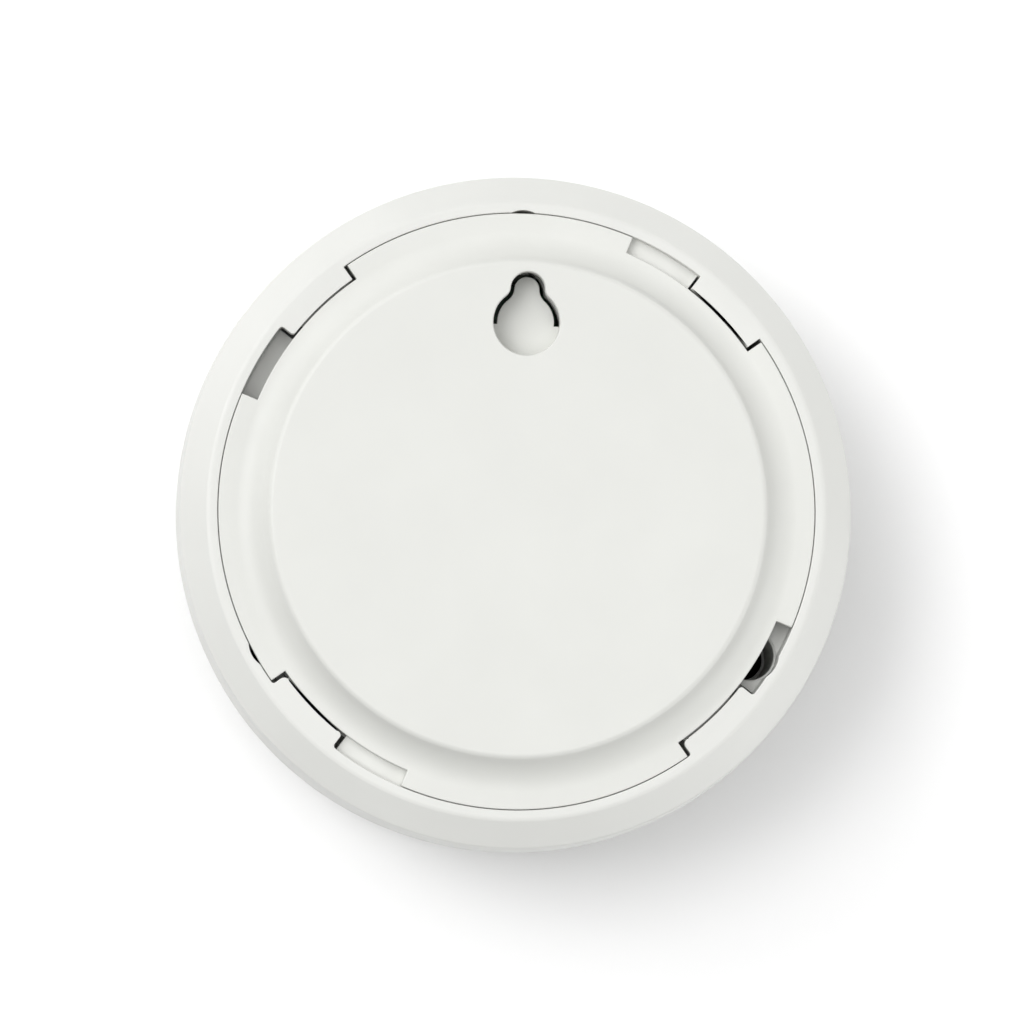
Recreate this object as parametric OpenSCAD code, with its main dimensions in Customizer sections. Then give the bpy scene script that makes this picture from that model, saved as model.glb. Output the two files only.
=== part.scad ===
// Round smoke alarm on a twist-on mounting plate.
// The origin is the centre of the plate's flat ceiling face. +Z points out of the back towards
// the ceiling, so the alarm lies below z = 0, and +Y points from the centre to the keyhole.
// The mounting plate is fixed. Everything else is the alarm, which turns on the plate about Z.

/* [Mounting plate] */
// Radius of the plate's rim
plate_r = 39.55; // [39.4:0.05:39.6]
// Radius of the raised flat disc
disc_r = 32.3; // [31:0.1:32.6]
// Height of the disc above the rim
plate_rise = 3.2; // [3:0.1:3.4]
// Thickness of the plate
plate_t = 1.5; // [1.4:0.1:1.6]
// Radius at which the sloping flank meets the flat rim
flank_r = 37.2; // [37:0.1:37.3]

/* [Bayonet] */
// Number of bayonet lugs
lug_count = 4; // [3:1:4]
// Angle that a lug spans, in degrees
lug_span = 16.5; // [15:0.5:16.5]
// Angle that a notch in the plate's rim spans, in degrees
notch_span = 32.3; // [32:0.1:33]
// Angle of the ledge under each lug, in degrees
ledge_span = 13; // [12:0.1:13]
// Angle of the first notch's start, in degrees
notch_start = 37.2; // [36:0.1:38]
// How far the locked alarm stands turned on the plate, in degrees
rest_turn = 1.2; // [1:0.1:1.4]

/* [Keyhole] */
// Radius of the round entry for the screw's head
entry_r = 4.4; // [4.2:0.1:4.6]
// Distance of the entry from the plate's centre
entry_y = 24.8; // [24:0.1:25]
// Radius of the narrow end for the screw's shank
lobe_r = 2.28; // [2.2:0.02:2.4]
// Distance between the two centres
lobe_dist = 4.4; // [4.2:0.1:4.6]

/* [Alarm body] */
// Widest radius of the body
body_r = 45; // [44.8:0.1:46]
// Height from the ceiling face to the front face
body_h = 35; // [35:0.1:36]
// Thickness of the housing's walls
wall = 1.8; // [1.6:0.1:1.9]
// Depth of the recess that takes the plate, below the rim
recess_depth = 4.3; // [4.2:0.1:4.4]
// Radial gap between the plate and the recess
seam_gap = 0.1; // [0.08:0.01:0.1]
// Number of smoke inlet slots
slot_count = 48; // [24:1:54]

/* [Screws] */
// Distance of the housing screws from the centre
screw_pitch_r = 36.5; // [36.3:0.1:36.5]
// Radius of the counterbore over a screw's head
counterbore_r = 3.23; // [3.1:0.01:3.3]

/* [Battery] */
// Diameter of the cell
cell_d = 17; // [16.6:0.1:17]
// Length of the cell over its cap
cell_l = 34.5; // [34:0.1:34.5]

/* [Optical chamber] */
// Radius of the chamber
chamber_r = 18.5; // [17.5:0.1:18.5]
// Number of vanes that keep light out
vane_count = 16; // [12:1:18]

/* [Sounder] */
// Radius of the resonator cup
horn_r = 15.2; // [14.8:0.1:15.2]
// Radius of the piezo disc
piezo_r = 13.5; // [13:0.1:13.5]

/* [Test button] */
// Radius of the button's face
button_r = 9; // [8.5:0.1:9]
// Travel of the button
button_travel = 0.6; // [0.5:0.05:0.7]

/* [Hidden] */
$fn = 96;

// Colours
white = "#ECECE8";
black = "#1B1B1D";
board_green = "#1F6B3A";
steel = "#B9BBBD";
brass = "#C8A24A";
clear = "#DDE6EA";

// Overlap that lets a cut run past a face
eps = 0.5;
// Depth that joined shapes run into each other
weld = 0.2;
// Room around leads, tails and pins in their holes
play = 0.3;

// Heights, from the ceiling face down
land_z = -plate_rise;
lug_t = 1.9;
lug_z = land_z - lug_t;
ledge_top_z = lug_z - 0.1;
ledge_z = ledge_top_z - 1.2;
recess_z = land_z - recess_depth;
floor_z = recess_z - 1.5;
split_z = -14;
board_top_z = -17;
board_z = board_top_z - 1.6;
front_z = -body_h;
front_in_z = front_z + wall;

// Mounting plate
notch_r = 37.35;
ledge_r = 39.2;
web_r = 36;
ledge_lead = 1.4;
flank_angle = 60;
flank_top_round = 0.9;
flank_rounds = ((flank_r - disc_r) * sin(flank_angle) - plate_rise * cos(flank_angle))
    / (1 - cos(flank_angle));
flank_foot_round = flank_rounds - flank_top_round;
under_shift = 0.7;
pocket_z = -4.6;
pocket_t = 1.2;
pocket_gap = 0.6;
pocket_wall_r = entry_r + 0.15;
pocket_shift = [0.13, 0.38];
blend_r = 1.5;

// Body
recess_r = plate_r + seam_gap;
land_r = 40.6;
slope_r = 44.65;
slope_drop = 2.1;
edge_round = 0.35;
lug_r = 37.62;
lug_pitch = 360 / lug_count;
window_r = lug_r - 0.1;
window_lead = 1.6;
window_trail = 0.4;
pad_r = 37;
pad_z = -4.85;
pad_lead = 0.5;
pad_span = 15.5;
bulge_r = 3.5;
spot_z = recess_z - 0.3;
boss_r = 4.6;
boss_z = -22;
head_z = -20;
shank_r = 1.45;
screw_head_r = 2.75;
screw_head_h = 1.9;
screw_tip_z = -30;
cover_boss_r = 3.4;
screw_angles = [90, 210, 330];
front_flat_r = 34.6;
front_round = 10;
slot_top_z = -17.8;
slot_h = 6.4;
slot_w = 2.2;

// Battery pocket
cell_y = -22;
cell_z = -14;
pocket_x = 18.9;
pocket_y = 9.2;
pocket_bottom_z = cell_z - cell_d / 2 - 0.1;
pocket_skin = 1.3;
cap_l = 1.1;
cap_r = 3.1;
contact_t = 0.35;
tail_y = -14.1;
tail_z = -15.2;
tail_x = 22.4;
tail_w = 1.8;

// Optical chamber
chamber_angle = 30;
chamber_dist = 21;
chamber_top_z = board_z - 1.3;
lid_top_z = -29;
lid_t = 1.2;
screen_t = 0.3;
screen_r = chamber_r - 0.2;
optics_z = -24.4;
optics_angles = [140, 275];
optic_r = 1.5;
optic_nose = 10.6;
optic_l = 4;
lead_dist = 16.3;
lead_y = 1.27;
lead_hole_r = 0.4;

// Sounder
horn_angle = 150;
horn_dist = 23.5;
horn_top_z = -22;
horn_z = -30.5;
piezo_z = -27;

// Test button and switch
button_z = front_z + 0.4;
button_top_z = -31.9;
button_flange_r = button_r + 1.4;
button_gap = 0.25;
pipe_r = 1.5;
pin_x = -2.6;
pin_y = 1;
pin_r = 0.5;
stem_pos = [-3, -6];
stem_r = 1.7;
plunger_r = 1.75;
switch_z = board_z - 3.5;
plunger_z = switch_z - 1;
plunger_depth = 0.9;
board_posts = [[0, 27], [25.5, -12], [-25.5, -12]];
board_screw_r = 1;

// Points of an arc about c, from angle a0 to a1
function arc(c, r, a0, a1, n) =
    [for (i = [0:n]) let (a = a0 + (a1 - a0) * i / n) [c[0] + r * cos(a), c[1] + r * sin(a)]];

// A ring between two radii and two heights
module ring(r_in, r_out, z_low, z_high) {
    translate([0, 0, z_low])
        difference() {
            cylinder(r = r_out, h = z_high - z_low);
            translate([0, 0, -eps]) cylinder(r = r_in, h = z_high - z_low + 2 * eps);
        }
}

// A stretch of such a ring, from angle a0 over span degrees
module ring_sector(r_in, r_out, z_low, z_high, a0, span) {
    rotate([0, 0, a0])
        rotate_extrude(angle = span)
            translate([r_in, z_low]) square([r_out - r_in, z_high - z_low]);
}

// A rod along Z between two heights
module rod(r, z_low, z_high) {
    translate([0, 0, z_low]) cylinder(r = r, h = z_high - z_low);
}

// A block between two corners
module block(low, high) {
    translate(low) cube(high - low);
}

// Places for the parts of the alarm, which stands turned on the plate
module in_alarm() {
    rotate([0, 0, rest_turn]) children();
}

module at_screws() {
    for (a = screw_angles)
        rotate([0, 0, a]) translate([screw_pitch_r, 0, 0]) children();
}

module at_posts() {
    for (p = board_posts)
        translate([p[0], p[1], 0]) children();
}

module at_chamber() {
    rotate([0, 0, chamber_angle]) translate([chamber_dist, 0, 0])
        rotate([0, 0, -chamber_angle]) children();
}

module at_horn() {
    rotate([0, 0, horn_angle]) translate([horn_dist, 0, 0]) children();
}

// ---- Mounting plate ----

// Section of the plate's upper surface, from the centre to the rim
function plate_top(drop) = concat(
    [[0, -drop]],
    arc([disc_r, -drop - flank_top_round], flank_top_round, 90, 90 - flank_angle, 4),
    arc([flank_r, land_z - drop + flank_foot_round], flank_foot_round,
        270 - flank_angle, 270, 6)
);

module plate_shell() {
    under = plate_top(plate_t);
    rotate_extrude()
        polygon(concat(
            plate_top(0),
            [[plate_r, land_z], [plate_r, land_z - plate_t]],
            [for (i = [len(under) - 1:-1:0]) [max(0, under[i][0] - under_shift), under[i][1]]]
        ));
}

// Keyhole outline, grown or shrunk by d: a round entry, a narrow end and hollow blends, whose
// arcs reach a little into both circles
module keyhole(d) {
    entry = entry_r + d;
    lobe = lobe_r + d;
    blend = blend_r - d + 0.05;
    u = ((entry_r - lobe_r) * (entry_r + lobe_r + 2 * blend_r) + lobe_dist * lobe_dist)
        / (2 * lobe_dist);
    x = sqrt(pow(entry_r + blend_r, 2) - u * u);
    low = atan2(-u, -x);
    high = atan2(lobe_dist - u, -x);
    right = arc([x, u], blend, low, high > 0 ? high - 360 : high, 8);
    circle(r = entry);
    translate([0, lobe_dist]) circle(r = lobe);
    polygon(concat(
        [[0, 0]],
        right,
        [[0, lobe_dist]],
        [for (i = [len(right) - 1:-1:0]) [-right[i][0], right[i][1]]]
    ));
}

// Floor behind the keyhole, carried by a half-round wall below the entry
module keyhole_pocket() {
    floor_low = pocket_z - pocket_t;
    outer = pocket_wall_r + pocket_t;
    translate([pocket_shift[0], pocket_shift[1], floor_low])
        linear_extrude(pocket_t) keyhole(-pocket_gap);
    ring_sector(0, outer, floor_low, pocket_z, 180, 180);
    ring_sector(pocket_wall_r, outer, floor_low, -plate_t + weld, 180, 180);
}

module mounting_plate() {
    color(white) {
        difference() {
            plate_shell();
            for (i = [0:lug_count - 1])
                ring_sector(notch_r, plate_r + 1, land_z - 2 * plate_t, land_z + eps,
                    notch_start + i * lug_pitch, notch_span);
            translate([0, entry_y, -plate_t - eps])
                linear_extrude(plate_t + 2 * eps) keyhole(0);
        }
        for (i = [0:lug_count - 1]) {
            start = notch_start + ledge_lead + i * lug_pitch;
            ring_sector(web_r, ledge_r, ledge_z, ledge_top_z, start, ledge_span);
            ring_sector(web_r, notch_r - 0.05, ledge_z, land_z - plate_t / 2, start, ledge_span);
        }
        translate([0, entry_y, 0]) keyhole_pocket();
    }
}

// ---- Rear housing ----

module housing_shell() {
    slope_z = land_z - slope_drop;
    inner_r = land_r + wall;
    floor_taper = 0.8;
    rotate_extrude()
        polygon(concat(
            [[0, recess_z], [recess_r, recess_z], [recess_r, land_z]],
            [[land_r, land_z], [land_r + 0.25, land_z - 0.06]],
            arc([slope_r - edge_round, slope_z - edge_round], edge_round, 60, 3, 4),
            [[body_r, split_z], [body_r - wall, split_z]],
            [[slope_r - wall, slope_z - wall], [inner_r, slope_z - wall]],
            [[inner_r - floor_taper, floor_z], [0, floor_z]]
        ));
}

module lugs() {
    for (i = [0:lug_count - 1])
        ring_sector(lug_r, recess_r + 2 * weld, lug_z, land_z,
            45 - lug_span / 2 + i * lug_pitch, lug_span);
}

// Openings in the recess floor that the mould's cores under the lugs leave
module lug_windows() {
    for (i = [0:lug_count - 1])
        ring_sector(window_r, recess_r - 0.05, floor_z - eps, recess_z + eps,
            45 - lug_span / 2 - window_lead + i * lug_pitch, lug_span + window_lead + window_trail);
}

// Raised floor in two of the plate's notches, clear under the plate's rim
module notch_pads() {
    for (i = [0, 2])
        ring_sector(pad_r, recess_r + weld, recess_z - weld, pad_z,
            45 + lug_span / 2 + pad_lead + i * lug_pitch, pad_span);
}

// Horseshoe slot in the recess floor, under the open side of the keyhole pocket
module keyhole_relief() {
    translate([0, entry_y, floor_z - eps])
        linear_extrude(recess_z - floor_z + 2 * eps)
            difference() {
                keyhole(0.9);
                keyhole(-1.5);
                translate([-2 * entry_r, -4 * entry_r]) square(4 * entry_r);
            }
}

module battery_pocket_outside() {
    block([-pocket_x - pocket_skin, cell_y - pocket_y - pocket_skin, pocket_bottom_z - pocket_skin],
        [pocket_x + pocket_skin, cell_y + pocket_y + pocket_skin, recess_z - 1]);
}

module battery_pocket_inside() {
    block([-pocket_x, cell_y - pocket_y, pocket_bottom_z],
        [pocket_x, cell_y + pocket_y, recess_z + eps]);
}

// Corner wedges that seat the cell
module battery_saddles() {
    saddle_w = 4;
    saddle_x = 9;
    saddle_top_z = cell_z - 2;
    sunk = weld / 2;
    difference() {
        for (x = [-saddle_x, saddle_x])
            block([x - saddle_w / 2, cell_y - pocket_y - sunk, pocket_bottom_z - sunk],
                [x + saddle_w / 2, cell_y + pocket_y + sunk, saddle_top_z]);
        translate([-pocket_x, cell_y, cell_z]) rotate([0, 90, 0])
            cylinder(r = cell_d / 2 + 0.4, h = 2 * pocket_x);
    }
}

// Slits that the contacts' tails leave the pocket through
module tail_slits() {
    for (x = [-1, 1])
        translate([x * (pocket_x + pocket_skin / 2), tail_y, tail_z])
            cube([pocket_skin + 2 * eps, tail_w + play, contact_t + play], center = true);
}

module rear_housing() {
    color(white) in_alarm() {
        difference() {
            union() {
                difference() {
                    housing_shell();
                    lug_windows();
                    keyhole_relief();
                }
                at_screws() rod(boss_r, boss_z, floor_z + weld);
                battery_pocket_outside();
            }
            at_screws() {
                rod(bulge_r, spot_z, land_z + eps);
                rod(counterbore_r, head_z, recess_z + eps);
                rod(shank_r + play, boss_z - eps, head_z + eps);
            }
            battery_pocket_inside();
            tail_slits();
        }
        lugs();
        notch_pads();
        battery_saddles();
    }
}

module housing_screws() {
    cross_w = 0.6;
    cross_l = 3.4;
    cross_h = 2;
    color(black) in_alarm() at_screws() {
        difference() {
            rod(screw_head_r, head_z, head_z + screw_head_h);
            for (a = [0, 90])
                translate([0, 0, head_z + screw_head_h]) rotate([0, 0, a])
                    cube([cross_l, cross_w, cross_h], center = true);
        }
        rod(shank_r, screw_tip_z, head_z);
    }
}

// ---- Front cover ----

module cover_shell() {
    corner = [front_flat_r, front_z + front_round];
    side_r = front_flat_r + front_round;
    lip_r = body_r - wall - 0.15;
    lip_in_r = lip_r - 1.4;
    lip_z = split_z + 1.4;
    lip_foot_z = split_z - 1.6;
    taper_z = split_z - 3;
    rotate_extrude()
        polygon(concat(
            [[0, front_z]],
            arc(corner, front_round, 270, 360, 12),
            [[body_r, split_z], [lip_r, split_z], [lip_r, lip_z]],
            [[lip_in_r, lip_z], [lip_in_r, lip_foot_z]],
            [[body_r - wall - 0.3, taper_z], [side_r - wall, corner[1]]],
            arc(corner, front_round - wall, 358, 270, 10),
            [[0, front_in_z]]
        ));
}

module inlet_slots() {
    for (i = [0:slot_count - 1])
        rotate([0, 0, (i + 0.5) * 360 / slot_count])
            block([body_r - 5, -slot_w / 2, slot_top_z - slot_h], [body_r + 1, slot_w / 2, slot_top_z]);
}

// Round holes in rings in front of the sounder
module grille_holes() {
    hole_r = 0.9;
    pitch = 3.2;
    for (k = [0:2], i = [0:max(0, 6 * k - 1)])
        rotate([0, 0, i * 60 / max(1, k)])
            translate([k * pitch, 0, 0]) rod(hole_r, front_z - eps, front_in_z + eps);
}

module front_cover() {
    root_z = front_in_z - weld;
    collar_r = button_flange_r + play;
    collar_top_z = front_in_z + 2.2;
    post_r = 2.5;
    post_hole_z = board_z - 8;
    horn_rest_r = 9;
    lid_pins = [-30, 30, 90];
    lid_pin_r = 1.2;
    lid_pin_dist = 12;
    color(white) in_alarm() {
        difference() {
            union() {
                cover_shell();
                at_screws() rod(cover_boss_r, front_in_z + weld, boss_z);
                at_posts() rod(post_r, root_z, board_z);
                ring(collar_r, collar_r + 1, root_z, collar_top_z);
                at_horn() ring(horn_rest_r, horn_rest_r + 1, root_z, horn_z);
                at_chamber()
                    for (a = lid_pins)
                        rotate([0, 0, a]) translate([lid_pin_dist, 0, 0])
                            rod(lid_pin_r, root_z, lid_top_z - lid_t);
            }
            inlet_slots();
            at_horn() grille_holes();
            rod(button_r + button_gap, front_z - eps, front_in_z + eps);
            at_screws() rod(shank_r + 0.05, screw_tip_z - 1, boss_z + eps);
            at_posts() rod(board_screw_r + 0.05, post_hole_z, board_z + eps);
        }
    }
}

// ---- Test button, light pipe and switch ----

module test_button() {
    color(white) in_alarm()
        difference() {
            union() {
                rod(button_r, button_z, button_top_z);
                rod(button_flange_r, front_in_z + 0.1, button_top_z);
                translate([stem_pos[0], stem_pos[1], 0])
                    rod(stem_r, button_top_z - 0.5, plunger_z - 0.05);
            }
            rod(pipe_r + 0.35, button_z - eps, button_top_z + eps);
        }
}

module light_pipe() {
    base_top = board_z - 1.9;
    base_t = 1.4;
    base_half_w = 1.6;
    color(clear) in_alarm() {
        rod(pipe_r, button_z + 0.1, base_top);
        block([-3.4, -base_half_w, base_top - base_t], [0.6, base_half_w, base_top]);
        for (y = [-pin_y, pin_y])
            translate([pin_x, y, 0]) rod(pin_r, base_top - 1, board_top_z);
    }
}

module switch_body() {
    switch_w = 6;
    color(black) in_alarm()
        translate([stem_pos[0], stem_pos[1], 0])
            difference() {
                block([-switch_w / 2, -switch_w / 2, switch_z], [switch_w / 2, switch_w / 2, board_z]);
                rod(plunger_r + 0.1, switch_z - eps, switch_z + plunger_depth + button_travel + 0.2);
            }
}

module switch_plunger() {
    color(brass) in_alarm()
        translate([stem_pos[0], stem_pos[1], 0])
            rod(plunger_r, plunger_z, switch_z + plunger_depth);
}

module status_led() {
    color("#CFE8CF") in_alarm() block([-0.8, -1.6, board_z - 1.1], [0.8, 1.6, board_z]);
}

// ---- Circuit board ----

module lead_holes(r) {
    at_chamber()
        for (a = optics_angles, y = [-lead_y, lead_y])
            rotate([0, 0, a]) translate([lead_dist, y, 0]) rod(r, chamber_top_z - eps, board_top_z + eps);
}

module circuit_board() {
    board_r = 38;
    board_edge_y = -15.8;
    notch_x = pocket_x + pocket_skin + 0.4;
    notch_y = cell_y + pocket_y + pocket_skin + 0.4;
    color(board_green) in_alarm()
        difference() {
            rod(board_r, board_z, board_top_z);
            block([-body_r, -body_r, board_z - eps], [body_r, board_edge_y, board_top_z + eps]);
            block([-notch_x, -body_r, board_z - eps], [notch_x, notch_y, board_top_z + eps]);
            at_screws() rod(boss_r + 0.5, board_z - eps, board_top_z + eps);
            at_posts() rod(board_screw_r + 0.15, board_z - eps, board_top_z + eps);
            lead_holes(lead_hole_r);
            for (y = [-pin_y, pin_y])
                translate([pin_x, y, 0]) rod(pin_r + 0.1, board_z - eps, board_top_z + eps);
            for (x = [-1, 1])
                translate([x * tail_x, tail_y, board_z])
                    cube([contact_t + play, tail_w + play, 8], center = true);
        }
}

module board_screws() {
    color(steel) in_alarm() at_posts() {
        rod(2 * board_screw_r, board_top_z, board_top_z + 1.4);
        rod(board_screw_r, board_z - 6.5, board_top_z);
    }
}

module microcontroller() {
    place = [-7, 13, board_top_z];
    half_w = 2;
    half_l = 5;
    lead = [0.9, 0.42, 0.5];
    pitch = 1.27;
    side_leads = 8;
    color(black) in_alarm() translate(place) {
        block([-half_w, -half_l, 0.15], [half_w, half_l, 1.6]);
        for (x = [-1, 1], i = [0:side_leads - 1])
            translate([x * (half_w + lead[0] / 2), (i - (side_leads - 1) / 2) * pitch, lead[2] / 2])
                cube(lead, center = true);
    }
}

module electrolytic_capacitor() {
    place = [-17, 3, board_top_z];
    half_w = 3.4;
    base_t = 0.9;
    can_r = 3.15;
    can_top = 6.4;
    color(steel) in_alarm() translate(place) {
        block([-half_w, -half_w, 0], [half_w, half_w, base_t]);
        rod(can_r, base_t, can_top);
    }
}

module boost_inductor() {
    place = [10, 24, board_top_z];
    flange_r = 4;
    flange_t = 1;
    winding_r = 2.8;
    height = 5;
    color(black) in_alarm() translate(place) {
        rod(flange_r, 0, flange_t);
        rod(winding_r, flange_t, height - flange_t);
        rod(flange_r, height - flange_t, height);
    }
}

module driver_transistor() {
    place = [4, 12, board_top_z];
    half_l = 3.2;
    half_w = 1.75;
    lead = [0.7, 1.1, 0.6];
    tab_w = 3;
    lead_y = 2.3;
    color(black) in_alarm() translate(place) {
        block([-half_l, -half_w, 0.1], [half_l, half_w, 1.7]);
        for (x = [-lead_y, 0, lead_y])
            translate([x, -lead_y, lead[2] / 2]) cube(lead, center = true);
        translate([0, lead_y, lead[2] / 2]) cube([tab_w, lead[1], lead[2]], center = true);
    }
}

module chip_components() {
    // Start and number of each row
    rows = [[-14, 22, 5], [12, 2, 4], [14, 12, 5], [-30, 2, 3]];
    pitch = 2;
    chip = [2, 1.2, 0.6];
    color("#6B5A46") in_alarm()
        for (row = rows, i = [0:row[2] - 1])
            translate([row[0], row[1] + pitch * i, board_top_z + chip[2] / 2])
                cube(chip, center = true);
}

// ---- Optical chamber ----

module optic(a) {
    half = 0.25;
    at_chamber() rotate([0, 0, a]) {
        translate([optic_nose, 0, optics_z]) rotate([0, 90, 0]) cylinder(r = optic_r, h = optic_l);
        translate([optic_nose, 0, optics_z]) sphere(r = optic_r);
        for (y = [-lead_y, lead_y])
            translate([0, y, 0]) {
                block([optic_nose + optic_l, -half, optics_z - half], [lead_dist, half, optics_z + half]);
                translate([lead_dist, 0, 0]) rod(0.3, optics_z - half, board_top_z);
            }
    }
}

module infrared_led() {
    color("#8FA6C8") in_alarm() optic(optics_angles[0]);
}

module photodiode() {
    color("#2B2230") in_alarm() optic(optics_angles[1]);
}

module chamber_base() {
    vane_z = lid_top_z + 0.1;
    vane_high_z = chamber_top_z + weld;
    vane_t = 0.9;
    vane_dist = 14.2;
    vane_half_l = 3.1;
    vane_turn = 48;
    vane_bend = 62;
    cradle_w = 3.2;
    cradle_x = 9.4;
    color(black) in_alarm() {
        difference() {
            at_chamber() {
                rod(chamber_r, chamber_top_z, board_z);
                for (a = optics_angles)
                    rotate([0, 0, a])
                        block([cradle_x, -cradle_w, vane_z],
                            [optic_nose + optic_l, cradle_w, vane_high_z]);
            }
            lead_holes(lead_hole_r);
            at_chamber()
                for (a = optics_angles)
                    rotate([0, 0, a]) translate([8, 0, optics_z]) rotate([0, 90, 0])
                        cylinder(r = optic_r + 0.08, h = 10);
        }
        at_chamber()
            for (i = [0:vane_count - 1]) {
                a = i * 360 / vane_count;
                if (min([for (o = optics_angles) abs(a - o)]) > 24)
                    rotate([0, 0, a]) translate([vane_dist, 0, 0]) rotate([0, 0, vane_turn]) {
                        block([-vane_half_l, -vane_t / 2, vane_z], [vane_half_l, vane_t / 2, vane_high_z]);
                        rotate([0, 0, vane_bend])
                            block([-0.2, -3, vane_z], [vane_t - 0.2, 0.2, vane_high_z]);
                    }
            }
    }
}

module chamber_lid() {
    trap_r = 7.5;
    color(black) in_alarm() at_chamber() {
        rod(chamber_r, lid_top_z - lid_t, lid_top_z);
        ring(trap_r, trap_r + 1, lid_top_z - weld, lid_top_z + lid_t);
    }
}

module insect_screen() {
    color(steel) in_alarm() at_chamber()
        ring(screen_r - screen_t, screen_r, lid_top_z, chamber_top_z);
}

// ---- Battery and contacts ----

module battery() {
    color("#3C5E8C") in_alarm() translate([-cell_l / 2, cell_y, cell_z]) rotate([0, 90, 0]) {
        cylinder(r = cell_d / 2, h = cell_l - cap_l);
        cylinder(r = cap_r, h = cell_l);
    }
}

// Contact strip on the pocket's end wall, with a tail to the board; side is 1 or -1
module contact_strip(side) {
    outer = side * pocket_x;
    inner = side * (pocket_x - contact_t);
    x0 = min(outer, inner);
    x1 = max(outer, inner);
    tail = side * (tail_x + contact_t / 2);
    tail_in = side * (tail_x - contact_t / 2);
    tail_low = tail_z - contact_t / 2;
    tail_high = tail_z + contact_t / 2;
    block([x0, cell_y - 4, cell_z - 5], [x1, cell_y + 4, cell_z + 5]);
    block([x0, cell_y, tail_low - 1], [x1, tail_y + tail_w / 2, tail_high + 1]);
    block([min(x0, tail), tail_y - tail_w / 2, tail_low],
        [max(x1, tail), tail_y + tail_w / 2, tail_high]);
    block([min(tail, tail_in), tail_y - tail_w / 2, board_z - 0.8],
        [max(tail, tail_in), tail_y + tail_w / 2, tail_high]);
}

module positive_contact() {
    color(steel) in_alarm() {
        contact_strip(1);
        translate([cell_l / 2, cell_y, cell_z]) rotate([0, 90, 0])
            cylinder(r = 2.4, h = pocket_x - cell_l / 2 - 0.1);
    }
}

// The leaf bows from the end wall to the cell's flat end
module negative_contact() {
    bow = pocket_x - cell_l / 2;
    leaf_r = 8;
    leaf_c = -cell_l / 2 - leaf_r;
    half = acos((leaf_r - bow + contact_t) / leaf_r);
    color(steel) in_alarm() {
        contact_strip(-1);
        translate([leaf_c, cell_y, cell_z - 3]) linear_extrude(6)
            polygon(concat(arc([0, 0], leaf_r, -half, half, 10),
                arc([0, 0], leaf_r - contact_t, half, -half, 10)));
    }
}

// ---- Sounder ----

module sounder_horn() {
    seat_r = 12.6;
    port_r = 3.5;
    color(black) in_alarm() at_horn()
        difference() {
            rod(horn_r, horn_z, horn_top_z);
            rod(seat_r, horn_z + 1.2, horn_top_z + eps);
            rod(piezo_r + 0.15, piezo_z, horn_top_z + eps);
            rod(port_r, horn_z - eps, horn_top_z);
        }
}

module piezo_disc() {
    color(brass) in_alarm() at_horn() {
        rod(piezo_r, piezo_z, piezo_z + 0.3);
        rod(9.5, piezo_z + 0.3, piezo_z + 0.5);
    }
}

module sounder_cap() {
    color(black) in_alarm() at_horn() {
        ring(11, piezo_r + 0.1, piezo_z + 0.3, piezo_z + 2.2);
        ring(11, horn_r, horn_top_z, horn_top_z + 1);
        ring(11, 12.2, piezo_z + 2, horn_top_z + 0.2);
    }
}

module sounder_contacts() {
    color(brass) in_alarm() at_horn()
        for (x = [-10.4, -5, 5]) {
            foot = x < -9 ? piezo_z + 0.3 : piezo_z + 0.5;
            block([x - 0.2, -1, foot], [x + 0.2, 1, board_z]);
            block([x - 0.2, -1, foot], [x + 0.7, 1, foot + 0.3]);
        }
}

mounting_plate();
rear_housing();
front_cover();
housing_screws();
test_button();
light_pipe();
circuit_board();
board_screws();
chamber_base();
chamber_lid();
insect_screen();
infrared_led();
photodiode();
battery();
positive_contact();
negative_contact();
sounder_horn();
piezo_disc();
sounder_cap();
sounder_contacts();
switch_body();
switch_plunger();
status_led();
microcontroller();
electrolytic_capacitor();
boost_inductor();
driver_transistor();
chip_components();
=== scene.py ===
"""Looks of the round smoke alarm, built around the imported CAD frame.

Sizes and places here are in millimetres in the row frame, and every mesh is scaled to metres when
it is made. The origin is the centre of the mounting plate's ceiling face, and +Z is its way out.
"""

import math

import bmesh
import bpy
from mathutils import Matrix, Vector


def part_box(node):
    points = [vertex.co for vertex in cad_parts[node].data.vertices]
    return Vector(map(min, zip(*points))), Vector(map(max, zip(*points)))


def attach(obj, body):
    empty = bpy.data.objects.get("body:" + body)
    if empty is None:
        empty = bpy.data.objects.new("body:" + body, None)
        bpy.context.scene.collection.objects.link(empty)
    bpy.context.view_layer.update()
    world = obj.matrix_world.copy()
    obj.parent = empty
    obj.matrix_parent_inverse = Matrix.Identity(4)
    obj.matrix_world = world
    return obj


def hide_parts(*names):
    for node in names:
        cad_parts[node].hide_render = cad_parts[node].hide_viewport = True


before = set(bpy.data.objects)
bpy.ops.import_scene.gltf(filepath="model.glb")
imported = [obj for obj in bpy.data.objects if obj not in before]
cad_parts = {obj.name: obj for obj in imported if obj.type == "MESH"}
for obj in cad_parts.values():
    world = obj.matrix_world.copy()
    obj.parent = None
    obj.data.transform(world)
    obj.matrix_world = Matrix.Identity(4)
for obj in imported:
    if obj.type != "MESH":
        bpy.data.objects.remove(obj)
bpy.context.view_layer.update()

MM = 0.001


def box_mm(node):
    """Lowest and highest corner of a CAD node, in millimetres."""
    low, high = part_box(node)
    return low / MM, high / MM


# ---- Heights, from the frame ----

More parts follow.
